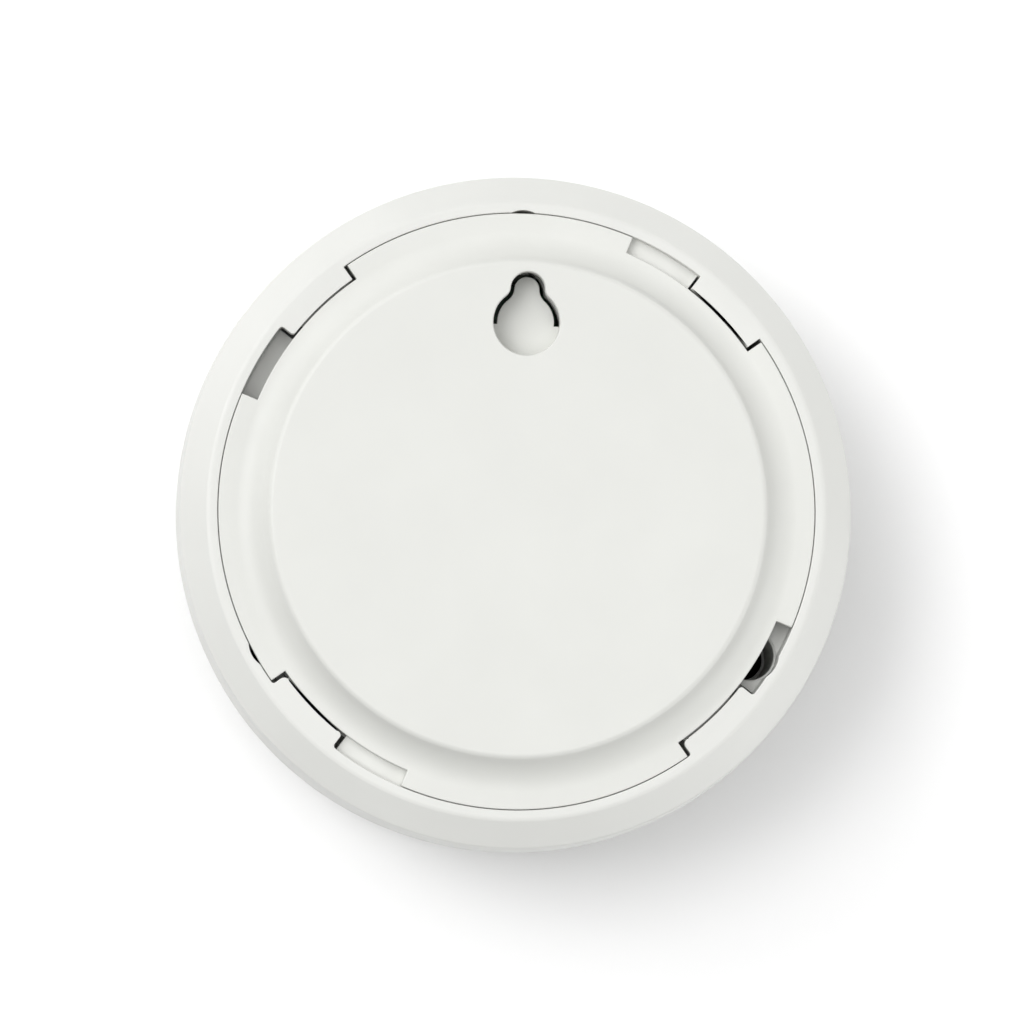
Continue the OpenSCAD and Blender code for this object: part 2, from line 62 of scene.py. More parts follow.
FRONT_Z = box_mm("front_cover")[0].z
LAND_Z = box_mm("rear_housing")[1].z
SPLIT_Z = FRONT_Z + 21
BOARD_Z = box_mm("circuit_board")[0].z
BOARD_TOP_Z = box_mm("circuit_board")[1].z
LID_Z = box_mm("chamber_lid")[0].z
LID_TOP_Z = LID_Z + 1.2
CHAMBER_TOP_Z = box_mm("insect_screen")[1].z
BUTTON_Z = box_mm("test_button")[0].z
SCREW_TIP_Z = box_mm("housing_screws")[0].z
SCREW_HEAD_TOP_Z = box_mm("housing_screws")[1].z
HORN_Z = box_mm("sounder_horn")[0].z
LEDGE_Z = LAND_Z - 3.2
RECESS_Z = LAND_Z - 4.3

# ---- Mounting plate ----

PLATE_R = 39.55
PLATE_T = 1.5
DISC_R = 32.3
FLANK_R = 37.2
FLANK_ANGLE = 60
FLANK_TOP_ROUND = 0.9
NOTCH_R = 37.35
NOTCH_START = 37.2
NOTCH_SPAN = 32.3
WEB_R = 36.0
LEDGE_R = 39.2
LEDGE_LEAD = 1.4
LEDGE_SPAN = 13.0
ENTRY_R = 4.4
ENTRY_Y = 24.8
LOBE_R = 2.28
LOBE_DIST = 4.4
BLEND_R = 1.5
POCKET_Z = -4.6
POCKET_T = 1.2
POCKET_GAP = 0.6
POCKET_SHIFT = (0.13, 0.38)

# ---- Alarm body ----

REST_TURN = 1.2
BODY_R = 45.0
WALL = 1.8
RECESS_R = 39.65
LAND_R = 40.6
SLOPE_R = 44.65
SLOPE_DROP = 2.1
LUG_COUNT = 4
LUG_SPAN = 16.5
LUG_R = 37.62
LUG_T = 1.9
# Of each lug: the rounding of its tip and root at its start, the same at its end, and how far the
# opening under it shows past its end
LUG_SHAPES = (
    ((0.06, 0.06), (0.06, 0.06), 0.26),
    ((0.08, 0.08), (0.45, 0.40), 0.12),
    ((0.80, 0.35), (0.50, 0.45), 0.5),
    ((0.80, 0.35), (0.45, 0.40), 0.56),
)
# Lugs after which the notch has a raised floor, and that floor's inner radius, height and end
PADS = (0, 2)
PAD_R = 37.0
PAD_Z = -4.85
PAD_END = 32.5
# How far the opening under a lug runs before the lug's start, in degrees
WINDOW_LEAD = 1.6
SCREW_ANGLES = (90, 210, 330)
SCREW_PITCH_R = 36.5
COUNTERBORE_R = 3.23
BULGE_R = 3.5
HEAD_Z = -20.0
BOSS_R = 4.6
BOSS_Z = -22.0
FLOOR_T = 1.5
SLOT_COUNT = 48
SLOT_W = 2.2
SLOT_H = 6.4
SLOT_TOP_Z = -17.8
FRONT_FLAT_R = 34.6
FRONT_ROUND = 10.0

# ---- Battery ----

CELL_R = 8.5
CELL_L = 34.5
CELL_Y = -22.0
CELL_Z = -14.0
POCKET_X = 18.9
POCKET_Y = 9.2
POCKET_BOTTOM_Z = -22.6

# ---- Chamber, sounder and button ----

CHAMBER_AT = (21.0, 30)
CHAMBER_R = 18.5
HORN_AT = (23.5, 150)
BUTTON_R = 9.0
BUTTON_TOP_Z = -31.9
STEM_AT = (-3.0, -6.0)

# Screw posts under the circuit board
POSTS = ((0.0, 27.0), (25.5, -12.0), (-25.5, -12.0))
GRILLE_PITCH = 3.2

# Number of steps round a full circle
STEPS = 288
# Radius of the moulded parts' edges
EDGE = 0.16


# ---- Outlines and meshes ----


def arc(cx, cy, r, a0, a1, n):
    """n + 1 points of an arc from angle a0 to a1, in degrees."""
    angles = [math.radians(a0 + (a1 - a0) * i / n) for i in range(n + 1)]
    return [(cx + r * math.cos(a), cy + r * math.sin(a)) for a in angles]


def circle(r, n=48, cx=0.0, cy=0.0):
    """Outline of a circle."""
    return arc(cx, cy, r, 0, 360, n)[:-1]


def rounded_box(hx, hy, r, n=5):
    """Outline of a rectangle with round corners, about the origin."""
    corners = ((hx - r, hy - r, 0), (r - hx, hy - r, 90), (r - hx, r - hy, 180), (hx - r, r - hy, 270))
    return [p for x, y, a in corners for p in arc(x, y, r, a, a + 90, n)]


def polar(r, along, angle):
    """Point at radius r and angle, then a distance along the circle of that radius."""
    a = math.radians(angle) + along / r
    return (r * math.cos(a), r * math.sin(a))


def bay_side(r_in, r_out, r_rim, rounds, n=5):
    """One side of a bay, as (radius, distance along the circle) points from r_out in to r_in."""
    tip, root = rounds
    side = [(r_out, -root)]
    side += [(r_rim - root + y, x - root) for x, y in arc(0, 0, root, 90, 0, n)]
    side += [(r_in + tip - y, tip - x) for x, y in arc(0, 0, tip, 0, 90, n)]
    return side


def bay(r_in, r_out, r_rim, a0, a1, start, end):
    """Outline of a ring sector whose corners at r_in are rounded and whose sides flare at r_rim.

    start and end are the radii of the corner at r_in and of the flare, on each side.
    """
    floor = 24
    points = [polar(r, s, a0) for r, s in bay_side(r_in, r_out, r_rim, start)]
    points += [
        polar(r_in, 0, a0 + (a1 - a0) * i / floor)
        for i in range(1, floor)
    ]
    points += [polar(r, -s, a1) for r, s in reversed(bay_side(r_in, r_out, r_rim, end))]
    points += [
        polar(r_out, 0, a1 + (a0 - a1) * i / floor)
        for i in range(floor + 1)
    ]
    return points


def outline_area(points):
    """Signed area, positive when the points run anticlockwise."""
    pairs = zip(points, points[1:] + points[:1])
    return sum(a[0] * b[1] - b[0] * a[1] for a, b in pairs) / 2


def offset(points, d):
    """The outline moved outwards by d."""
    if outline_area(points) < 0:
        points = points[::-1]
    if d == 0:
        return points
    moved = []
    for i, p in enumerate(points):
        before, after = Vector(points[i - 1]), Vector(points[(i + 1) % len(points)])
        here = Vector(p)
        n0 = (here - before).normalized()
        n1 = (after - here).normalized()
        out = Vector((n0.y + n1.y, -n0.x - n1.x)).normalized()
        grow = min(2.0, 1 / max(0.3, out.dot(Vector((n1.y, -n1.x)))))
        moved.append(tuple(here + out * d * grow))
    return moved


def rounded_levels(low, high, low_round, high_round, n=4):
    """Heights and offsets of a wall from low to high with rounded edges."""
    levels = [(low, -low_round)] if low_round else []
    levels += [(low + low_round + y, x - low_round) for x, y in arc(0, 0, low_round, 270, 360, n)][1:]
    top = [(high - high_round + y, x - high_round) for x, y in arc(0, 0, high_round, 0, 90, n)]
    return levels + top if low_round else [(low, 0.0)] + top


def mouth_levels(bottom, top, edge, past=1.0, n=4):
    """Heights and offsets of a cutter that leaves a round edge where it comes out at top."""
    flare = [(top - edge + y, edge - x) for x, y in arc(0, 0, edge, 0, 90, n)]
    return [(bottom, 0.0)] + flare + [(top + past, edge)]


def through_levels(bottom, top, edge, past=1.0, n=4):
    """The same for a hole right through, with both mouths rounded."""
    lower = [(bottom + top - z, d) for z, d in reversed(mouth_levels(bottom, top, edge, past, n)[1:])]
    return lower + mouth_levels(bottom, top, edge, past, n)[1:]


def new_object(name, bm):
    """A scene object from a mesh made in millimetres."""
    bmesh.ops.remove_doubles(bm, verts=bm.verts, dist=1e-5)
    bmesh.ops.recalc_face_normals(bm, faces=bm.faces)
    mesh = bpy.data.meshes.new(name)
    bm.to_mesh(mesh)
    bm.free()
    mesh.transform(Matrix.Scale(MM, 4))
    obj = bpy.data.objects.new(name, mesh)
    bpy.context.scene.collection.objects.link(obj)
    return obj


def prism(name, outline, levels):
    """A closed solid on an outline; levels are (height, offset) from the lowest up."""
    bm = bmesh.new()
    rings = [[bm.verts.new((x, y, z)) for x, y in offset(outline, d)] for z, d in levels]
    for low, high in zip(rings, rings[1:]):
        for i in range(len(low)):
            j = (i + 1) % len(low)
            bm.faces.new((low[i], low[j], high[j], high[i]))
    bm.faces.new(rings[0][::-1])
    bm.faces.new(rings[-1])
    return new_object(name, bm)


def revolve(name, profile, steps=STEPS):
    """A closed solid from a closed section of (radius, height) points turned about Z."""
    bm = bmesh.new()
    turns = [2 * math.pi * i / steps for i in range(steps)]
    rings = []
    for r, z in profile:
        if r < 1e-6:
            rings.append([bm.verts.new((0, 0, z))])
        else:
            rings.append([bm.verts.new((r * math.cos(a), r * math.sin(a), z)) for a in turns])
    for a, b in zip(rings, rings[1:] + rings[:1]):
        for i in range(steps):
            j = (i + 1) % steps
            quad = [a[i % len(a)], a[j % len(a)], b[j % len(b)], b[i % len(b)]]
            quad = list(dict.fromkeys(quad))
            if len(quad) > 2:
                bm.faces.new(quad)
    return new_object(name, bm)


def rod(name, r, low, high, low_round=0.0, high_round=0.0, steps=48):
    """A cylinder along Z with rounded ends."""
    bottom = [(r - low_round + x, low + low_round + y) for x, y in arc(0, 0, low_round, 270, 360, 4)]
    top = [(r - high_round + x, high - high_round + y) for x, y in arc(0, 0, high_round, 0, 90, 4)]
    bottom = bottom if low_round else [(r, low)]
    top = top if high_round else [(r, high)]
    return revolve(name, [(0, low)] + bottom + top + [(0, high)], steps)


def block(name, low, high, edge=0.0, corner=0.3):
    """A box between two corners, with round upright corners and rounded ends."""
    cx, cy = (low[0] + high[0]) / 2, (low[1] + high[1]) / 2
    outline = rounded_box((high[0] - low[0]) / 2, (high[1] - low[1]) / 2, corner)
    levels = rounded_levels(low[2], high[2], edge, edge) if edge else [(low[2], 0), (high[2], 0)]
    return moved(prism(name, outline, levels), cx, cy)


def wire(name, points, r, steps=12):
    """A round wire along points that lie in one plane of constant Y."""
    bm = bmesh.new()
    path = [Vector(p) for p in points]
    rings = []
    for i, here in enumerate(path):
        way = (path[min(i + 1, len(path) - 1)] - path[max(i - 1, 0)]).normalized()
        across = Vector((0, 1, 0))
        up = way.cross(across)
        turns = [2 * math.pi * k / steps for k in range(steps)]
        rings.append([bm.verts.new(here + across * r * math.cos(a) + up * r * math.sin(a)) for a in turns])
    for a, b in zip(rings, rings[1:]):
        for i in range(steps):
            j = (i + 1) % steps
            bm.faces.new((a[i], a[j], b[j], b[i]))
    bm.faces.new(rings[0][::-1])
    bm.faces.new(rings[-1])
    return new_object(name, bm)


def threaded(name, r_out, r_root, pitch, low, high, steps=32):
    """A screw's shank with a helical ridge and a tapered tip at its low end."""
    bm = bmesh.new()
    rows = math.ceil((high - low) / pitch * 10)
    rings = []
    for k in range(rows + 1):
        z = low + (high - low) * k / rows
        taper = min(1.0, 0.3 + (z - low) / (2.2 * r_out))
        fade = min(1.0, (high - z) / pitch)
        ring = []
        for i in range(steps):
            phase = (z / pitch - i / steps) % 1
            ridge = max(0.0, 1 - abs(phase - 0.5) * 4) * fade
            r = taper * (r_root + (r_out - r_root) * ridge)
            a = 2 * math.pi * i / steps
            ring.append(bm.verts.new((r * math.cos(a), r * math.sin(a), z)))
        rings.append(ring)
    for a, b in zip(rings, rings[1:]):
        for i in range(steps):
            j = (i + 1) % steps
            bm.faces.new((a[i], a[j], b[j], b[i]))
    bm.faces.new(rings[0][::-1])
    bm.faces.new(rings[-1])
    return new_object(name, bm)


def moved(obj, x=0.0, y=0.0, z=0.0):
    obj.data.transform(Matrix.Translation((x * MM, y * MM, z * MM)))
    return obj


def turned(obj, degrees, axis="Z"):
    obj.data.transform(Matrix.Rotation(math.radians(degrees), 4, axis))
    return obj


def at(obj, place):
    """Moves the mesh out to a place given as distance and angle, and turns it to face that way."""
    return turned(moved(obj, place[0]), place[1])


def copies(make, angles):
    """One object per angle, each turned about Z."""
    return [turned(make(), a) for a in angles]


def merged(objs):
    """One object that holds all these meshes, which don't touch each other."""
    bm = bmesh.new()
    for obj in objs:
        bm.from_mesh(obj.data)
    mesh = objs[0].data
    bm.to_mesh(mesh)
    bm.free()
    for obj in objs[1:]:
        bpy.data.objects.remove(obj)
    return objs[0]


def boolean(target, tools, operation):
    """Target with the tools joined to it or cut out of it; the tools are used up."""
    for tool in tools:
        modifier = target.modifiers.new("boolean", "BOOLEAN")
        modifier.object = tool
        modifier.operation = operation
        modifier.solver = "MANIFOLD"
    bpy.context.view_layer.update()
    shape = target.evaluated_get(bpy.context.evaluated_depsgraph_get())
    mesh = bpy.data.meshes.new_from_object(shape)
    target.modifiers.clear()
    target.data = mesh
    for tool in tools:
        bpy.data.objects.remove(tool)
    return target


def cut(target, *tools):
    return boolean(target, tools, "DIFFERENCE")


def join(target, *tools):
    return boolean(target, tools, "UNION")


def smooth(obj, degrees=32):
    """Smooth shading that keeps flat faces flat and edges over the angle sharp."""
    for polygon in obj.data.polygons:
        polygon.use_smooth = True
    obj.data.set_sharp_from_angle(angle=math.radians(degrees))
    weighted = obj.modifiers.new("weighted_normals", "WEIGHTED_NORMAL")
    weighted.keep_sharp = True
    weighted.weight = 80
    return obj


# ---- Materials ----


class Shader:
    """A node material with one Principled shader."""

    def __init__(self, name, settings=None):
        self.material = bpy.data.materials.new(name)
        self.material.use_nodes = True
        self.tree = self.material.node_tree
        self.shader = self.tree.nodes["Principled BSDF"]
        for key, value in (settings or {}).items():
            self.shader.inputs[key].default_value = value
        coordinates = self.tree.nodes.new("ShaderNodeTexCoord")
        self.place = coordinates.outputs["Object"]

    def node(self, kind, inputs=None, **settings):
        made = self.tree.nodes.new(kind)
        for key, value in settings.items():
            setattr(made, key, value)
        for key, value in (inputs or {}).items():
            socket = made.inputs[key]
            if isinstance(value, bpy.types.NodeSocket):
                self.tree.links.new(value, socket)
            else:
                socket.default_value = value
        return made

    def noise(self, size_mm, detail=3.0, roughness=0.5):
        """Noise whose features are about size_mm across."""
        made = self.node(
            "ShaderNodeTexNoise",
            {"Vector": self.place, "Scale": 1 / (size_mm * MM), "Detail": detail, "Roughness": roughness},
        )
        return made.outputs["Fac"]

    def spread(self, value, low, high, out_low, out_high):
        """Value's stretch from low to high, mapped to out_low to out_high."""
        made = self.node(
            "ShaderNodeMapRange",
            {"Value": value, "From Min": low, "From Max": high, "To Min": out_low, "To Max": out_high},
        )
        return made.outputs["Result"]

    def math(self, operation, a, b):
        return self.node("ShaderNodeMath", {0: a, 1: b}, operation=operation).outputs[0]

    def mix(self, factor, a, b):
        """Colour a blended to colour b."""
        made = self.node("ShaderNodeMix", data_type="RGBA")
        for socket, value in ((made.inputs[0], factor), (made.inputs[6], a), (made.inputs[7], b)):
            if isinstance(value, bpy.types.NodeSocket):
                self.tree.links.new(value, socket)
            else:
                socket.default_value = value
        return made.outputs[2]

    def edges(self, radius_mm):
        """A mask that rises from 0 on flat faces to 1 along edges."""
        bevel = self.node("ShaderNodeBevel", {"Radius": radius_mm * MM}, samples=4)
        geometry = self.node("ShaderNodeNewGeometry")
        likeness = self.node(
            "ShaderNodeVectorMath",
            {0: bevel.outputs["Normal"], 1: geometry.outputs["Normal"]},
            operation="DOT_PRODUCT",
        )
        return self.spread(likeness.outputs["Value"], 0.995, 0.90, 0.0, 1.0)

    def bump(self, height, depth_mm, normal=None):
        """Bump whose full height is depth_mm."""
        inputs = {"Height": height, "Distance": depth_mm * MM, "Strength": 1.0}
        if normal is not None:
            inputs["Normal"] = normal
        return self.node("ShaderNodeBump", inputs).outputs["Normal"]

    def link(self, value, socket):
        self.tree.links.new(value, self.shader.inputs[socket])


def moulded_plastic(name, colour, rough=0.42, grain=0.0015, tint=0.03, specular=0.5):
    """Injection-moulded plastic: fine spark-eroded grain, slight mottling and rubbed edges."""
    made = Shader(name, {"Specular IOR Level": specular})
    dull = [c * (1 - tint) for c in colour]
    bright = [min(1, c * (1 + tint * 0.5)) for c in colour]
    mottle = made.spread(made.noise(14, 4), 0.3, 0.7, 0, 1)
    base = made.mix(mottle, (*dull, 1), (*colour, 1))
    edge = made.edges(0.25)
    base = made.mix(made.math("MULTIPLY", edge, 0.6), base, (*bright, 1))
    made.link(base, "Base Color")
    patches = made.spread(made.noise(5, 5, 0.6), 0.25, 0.75, rough - 0.05, rough + 0.06)
    rubbed = made.math("SUBTRACT", patches, made.math("MULTIPLY", edge, 0.06))
    made.link(rubbed, "Roughness")
    fine = made.noise(0.16, 2, 0.6)
    made.link(made.bump(fine, grain), "Normal")
    return made.material


def metal(name, colour, rough=0.3, grain_mm=0.5, depth=0.0008):
    """Plated or drawn metal: faint tarnish, fine scratches and brighter worn edges."""
    made = Shader(name, {"Metallic": 1.0})
    dull = [c * 0.84 for c in colour]
    worn = [min(1, c * 1.2) for c in colour]
    tarnish = made.spread(made.noise(2.5, 4), 0.3, 0.7, 0, 1)
    base = made.mix(tarnish, (*dull, 1), (*colour, 1))
    base = made.mix(made.math("MULTIPLY", made.edges(0.12), 0.5), base, (*worn, 1))
    made.link(base, "Base Color")
    made.link(made.spread(made.noise(0.7, 5, 0.6), 0.25, 0.75, rough - 0.07, rough + 0.12), "Roughness")
    made.link(made.bump(made.noise(grain_mm, 3), depth), "Normal")
    return made.material


def clear_moulding(name, colour, rough=0.08, density=1.0):
    """Clear or tinted resin with slight haze and flow marks."""
    settings = {"Transmission Weight": density, "IOR": 1.49, "Specular IOR Level": 0.5}
    made = Shader(name, settings)
    shade = made.mix(made.noise(2, 3), (*colour, 1), (*[min(1, c * 1.06) for c in colour], 1))
    made.link(shade, "Base Color")
    made.link(made.spread(made.noise(0.9, 4), 0.3, 0.7, rough, rough + 0.1), "Roughness")
    made.link(made.bump(made.noise(1.2, 2), 0.0012), "Normal")
    return made.material


def solder_mask(name):
    """Green lacquer over fibreglass: tracks that stand proud, tinned vias and a pale cut edge."""
    made = Shader(name, {"Specular IOR Level": 0.55})
    grid = made.node(
        "ShaderNodeTexVoronoi",
        {"Vector": made.place, "Scale": 1 / (2.6 * MM), "Randomness": 0.85},
        distance="MANHATTAN",
    )
    tracks = made.node("ShaderNodeMath", {0: grid.outputs["Distance"], 1: 5.0}, operation="MULTIPLY")
    line = made.node("ShaderNodeMath", {0: tracks.outputs[0], 1: 0.9}, operation="PINGPONG")
    raised = made.spread(line.outputs[0], 0.36, 0.46, 0, 1)
    via = made.spread(grid.outputs["Distance"], 0.07, 0.09, 1, 0)
    speckle = made.noise(0.5, 3)
    lacquer = made.mix(raised, (0.006, 0.075, 0.030, 1), (0.012, 0.135, 0.052, 1))
    lacquer = made.mix(made.spread(speckle, 0.3, 0.7, 0, 0.35), lacquer, (0.008, 0.09, 0.036, 1))
    base = made.mix(via, lacquer, (0.62, 0.60, 0.55, 1))
    normal = made.node("ShaderNodeNewGeometry").outputs["Normal"]
    upright = made.math("ABSOLUTE", made.node("ShaderNodeSeparateXYZ", {0: normal}).outputs["Z"], 0.0)
    cut_edge = made.spread(upright, 0.4, 0.6, 1, 0)
    layers = made.node("ShaderNodeTexWave", {"Vector": made.place, "Scale": 900.0}, bands_direction="Z")
    fibre = made.mix(layers.outputs["Fac"], (0.30, 0.27, 0.14, 1), (0.42, 0.38, 0.22, 1))
    made.link(made.mix(cut_edge, base, fibre), "Base Color")
    made.link(made.math("MULTIPLY", via, made.math("SUBTRACT", 1.0, cut_edge)), "Metallic")
    made.link(made.spread(cut_edge, 0, 1, 0.3, 0.75), "Roughness")
    made.link(made.bump(raised, 0.03), "Normal")
    return made.material


def two_tone(name, middle, turn, half, body, leads):
    """Package that is one colour inside a box about its middle, and bright metal outside it.

    The box is half wide in X and Y, turned about Z; body and leads are colours.
    """
    made = Shader(name)
    local = made.node(
        "ShaderNodeMapping",
        {
            "Vector": made.place,
            "Location": [c * MM for c in middle],
            "Rotation": (0, 0, math.radians(turn)),
        },
        vector_type="TEXTURE",
    )
    parts = made.node("ShaderNodeSeparateXYZ", {0: local.outputs[0]})
    masks = [
        made.spread(made.math("ABSOLUTE", parts.outputs[axis], 0.0), h * MM, (h + 0.02) * MM, 0, 1)
        for axis, h in zip("XY", half)
    ]
    outside = made.math("MAXIMUM", *masks)
    mottle = made.mix(made.noise(0.6, 4), (*[c * 0.8 for c in body], 1), (*body, 1))
    made.link(made.mix(outside, mottle, (*leads, 1)), "Base Color")
    made.link(outside, "Metallic")
    made.link(made.spread(outside, 0, 1, 0.55, 0.3), "Roughness")
    made.link(made.bump(made.noise(0.12, 3), 0.003), "Normal")
    return made.material


WHITE_PLATE = moulded_plastic("white_plate", (0.712, 0.717, 0.685), rough=0.44)
WHITE_HOUSING = moulded_plastic("white_housing", (0.722, 0.726, 0.698), rough=0.42)
WHITE_BUTTON = moulded_plastic("white_button", (0.72, 0.72, 0.70), rough=0.36)
BLACK_PLASTIC = moulded_plastic("black_plastic", (0.018, 0.018, 0.019), rough=0.48, grain=0.004, tint=0.25)
PLUNGER_PLASTIC = moulded_plastic("plunger_plastic", (0.46, 0.39, 0.24), rough=0.36, tint=0.08)
SLEEVE = moulded_plastic("battery_sleeve", (0.045, 0.12, 0.28), rough=0.28, grain=0.0006, tint=0.12)
FERRITE = moulded_plastic("ferrite", (0.045, 0.043, 0.042), rough=0.7, grain=0.01, tint=0.3)
CAPACITOR_BASE = moulded_plastic("capacitor_base", (0.02, 0.02, 0.021), rough=0.5, grain=0.003, tint=0.2)
BLACK_STEEL = metal("black_steel", (0.028, 0.027, 0.027), rough=0.42)
SCREW_STEEL = metal("screw_steel", (0.60, 0.60, 0.58), rough=0.28)
SCREEN_STEEL = metal("screen_steel", (0.50, 0.50, 0.49), rough=0.36)
CONTACT_METAL = metal("contact_metal", (0.66, 0.63, 0.58), rough=0.24)
CAN_STEEL = metal("cell_steel", (0.62, 0.61, 0.60), rough=0.25)
BRASS = metal("brass", (0.72, 0.50, 0.20), rough=0.3)
COPPER = metal("copper_wire", (0.62, 0.24, 0.11), rough=0.3, grain_mm=0.3)
ALUMINIUM = metal("can_aluminium", (0.74, 0.75, 0.77), rough=0.34)
CLEAR_LENS = clear_moulding("clear_lens", (0.96, 0.98, 0.98))
TINTED_LENS = clear_moulding("tinted_lens", (0.42, 0.50, 0.72), rough=0.05)
DARK_LENS = clear_moulding("dark_lens", (0.05, 0.035, 0.06), rough=0.05, density=0.6)
LED_LENS = clear_moulding("led_lens", (0.72, 0.90, 0.72), rough=0.15, density=0.5)
BOARD = solder_mask("board")
CHIP_BLACK = (0.016, 0.016, 0.018)
TINNED = (0.62, 0.62, 0.60)
BRASS_TONE = (0.72, 0.50, 0.20)
CERAMIC_SILVER = (0.55, 0.53, 0.50)


def trim(obj, material, where):
    """Second material on the faces whose middle, in millimetres, where() picks."""
    while len(obj.data.materials) < 2:
        obj.data.materials.append(None)
    obj.data.materials[1] = material
    for polygon in obj.data.polygons:
        polygon.material_index = int(where(polygon.center / MM))
    return obj


def dress(obj, material, body, node):
    """Gives a finished piece its looks and its body, and hides the CAD node that it stands for."""
    smooth(obj)
    if len(obj.data.materials) > 1:
        obj.data.materials[0] = material
    else:
        obj.data.materials.clear()
        obj.data.materials.append(material)
    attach(obj, body)
    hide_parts(node)
    return obj


# ---- Mounting plate ----


def plate_top(drop):
    """Section of the plate's upper surface, from the flat disc's edge to the flat rim."""
    sine = math.sin(math.radians(FLANK_ANGLE))
    cosine = math.cos(math.radians(FLANK_ANGLE))
    rounds = ((FLANK_R - DISC_R) * sine + LAND_Z * cosine) / (1 - cosine)
    foot = rounds - FLANK_TOP_ROUND
    return arc(DISC_R, -drop - FLANK_TOP_ROUND, FLANK_TOP_ROUND, 90, 90 - FLANK_ANGLE, 8) + arc(
        FLANK_R, LAND_Z - drop + foot, foot, 270 - FLANK_ANGLE, 270, 14
    )


def keyhole_outline(grow=0.0):
    """Round entry, narrow end and hollow blends between them, about the entry's centre."""
    entry, lobe, blend = ENTRY_R + grow, LOBE_R + grow, BLEND_R - grow
    u = ((ENTRY_R - LOBE_R) * (ENTRY_R + LOBE_R + 2 * BLEND_R) + LOBE_DIST**2) / (2 * LOBE_DIST)
    x = math.sqrt((ENTRY_R + BLEND_R) ** 2 - u * u)
    low = math.degrees(math.atan2(-u, -x))
    high = math.degrees(math.atan2(LOBE_DIST - u, -x))
    high = high - 360 if high > 0 else high
    right = arc(x, u, blend, low, high, 10)
    left = [(-px, py) for px, py in reversed(right)]
    start = math.degrees(math.atan2(right[0][1], right[0][0]))
    top = math.degrees(math.atan2(right[-1][1] - LOBE_DIST, right[-1][0]))
    round_entry = arc(0, 0, entry, 180 - start, 360 + start, 48)
    round_lobe = arc(0, LOBE_DIST, lobe, top, 180 - top, 24)
    return round_entry[1:-1] + right + round_lobe[1:-1] + left


def make_mounting_plate():
    upper = plate_top(0)
    lower = [(max(0.0, r - 0.7), z) for r, z in plate_top(PLATE_T)]
    rim = arc(PLATE_R - EDGE, LAND_Z - EDGE, EDGE, 90, 0, 5)
    rim += arc(PLATE_R - EDGE, LAND_Z - PLATE_T + EDGE, EDGE, 0, -90, 3)
    plate = revolve("mounting_plate", [(0, 0)] + upper + rim + lower[::-1] + [(0, -PLATE_T)])

    starts = [NOTCH_START + i * 360 / LUG_COUNT for i in range(LUG_COUNT)]
    through = through_levels(LAND_Z - PLATE_T, LAND_Z, EDGE)
    corners = (0.08, 0.12)
    notch = bay(NOTCH_R, PLATE_R + 1, PLATE_R, 0, NOTCH_SPAN, corners, corners)
    cut(plate, *copies(lambda: prism("notch", notch, through), starts))

    mouth = through_levels(-PLATE_T, 0, 0.22)
    cut(plate, moved(prism("keyhole", keyhole_outline(), mouth), y=ENTRY_Y))

    sharp = (0.2, 0.01)
    ledge = bay(WEB_R, LEDGE_R, LEDGE_R, 0, LEDGE_SPAN, sharp, sharp)
    ledge_levels = rounded_levels(LEDGE_Z, LEDGE_Z + 1.2, EDGE, EDGE)
    ledge_starts = [a + LEDGE_LEAD for a in starts]
    web = bay(WEB_R, NOTCH_R - 0.05, NOTCH_R - 0.05, 0, LEDGE_SPAN, sharp, sharp)
    web_levels = [(LEDGE_Z + 0.3, 0), (LAND_Z - 1, 0)]
    join(
        plate,
        *copies(lambda: prism("ledge", ledge, ledge_levels), ledge_starts),
        *copies(lambda: prism("web", web, web_levels), ledge_starts),
    )

    floor_z = POCKET_Z - POCKET_T
    wall_r = ENTRY_R + 0.15
    outer_r = wall_r + POCKET_T
    island = prism("island", keyhole_outline(-POCKET_GAP), rounded_levels(floor_z, POCKET_Z, 0.1, 0.1))
    moved(island, *POCKET_SHIFT)
    half = arc(0, 0, outer_r, 180, 360, 40)
    floor = prism("pocket_floor", half, [(floor_z, 0), (POCKET_Z, 0)])
    shell = half + arc(0, 0, wall_r, 360, 180, 40)
    wall = prism("pocket_wall", shell, [(floor_z + 0.1, 0), (0.3 - PLATE_T, 0)])
    join(plate, *[moved(piece, y=ENTRY_Y) for piece in (island, floor, wall)])
    return dress(plate, WHITE_PLATE, "ceiling_plate", "mounting_plate")


def ring_section(r_in, r_out, low, high, edge=0.12):
    """Section of a ring with bevelled upper and lower edges."""
    outer = [(r_out - edge, low), (r_out, low + edge), (r_out, high - edge), (r_out - edge, high)]
    inner = [(r_in + edge, high), (r_in, high - edge), (r_in, low + edge), (r_in + edge, low)]
    return outer + inner


# ---- Rear housing ----


def keyhole_relief(floor_z):
    """Cutter for the horseshoe slot under the open side of the keyhole pocket."""
    outward, inward = 0.9, -1.5
    core_levels = [(floor_z - 2, 0), (RECESS_Z + 2, 0)]
    slot = prism("relief", keyhole_outline(outward), [(floor_z - 1, 0), (RECESS_Z + 1, 0)])
    core = prism("core", keyhole_outline(inward), core_levels)
    below = block("below", (-8, -16, floor_z - 2), (8, 0, RECESS_Z + 2))
    cut(slot, core, below)
    return moved(slot, y=ENTRY_Y)


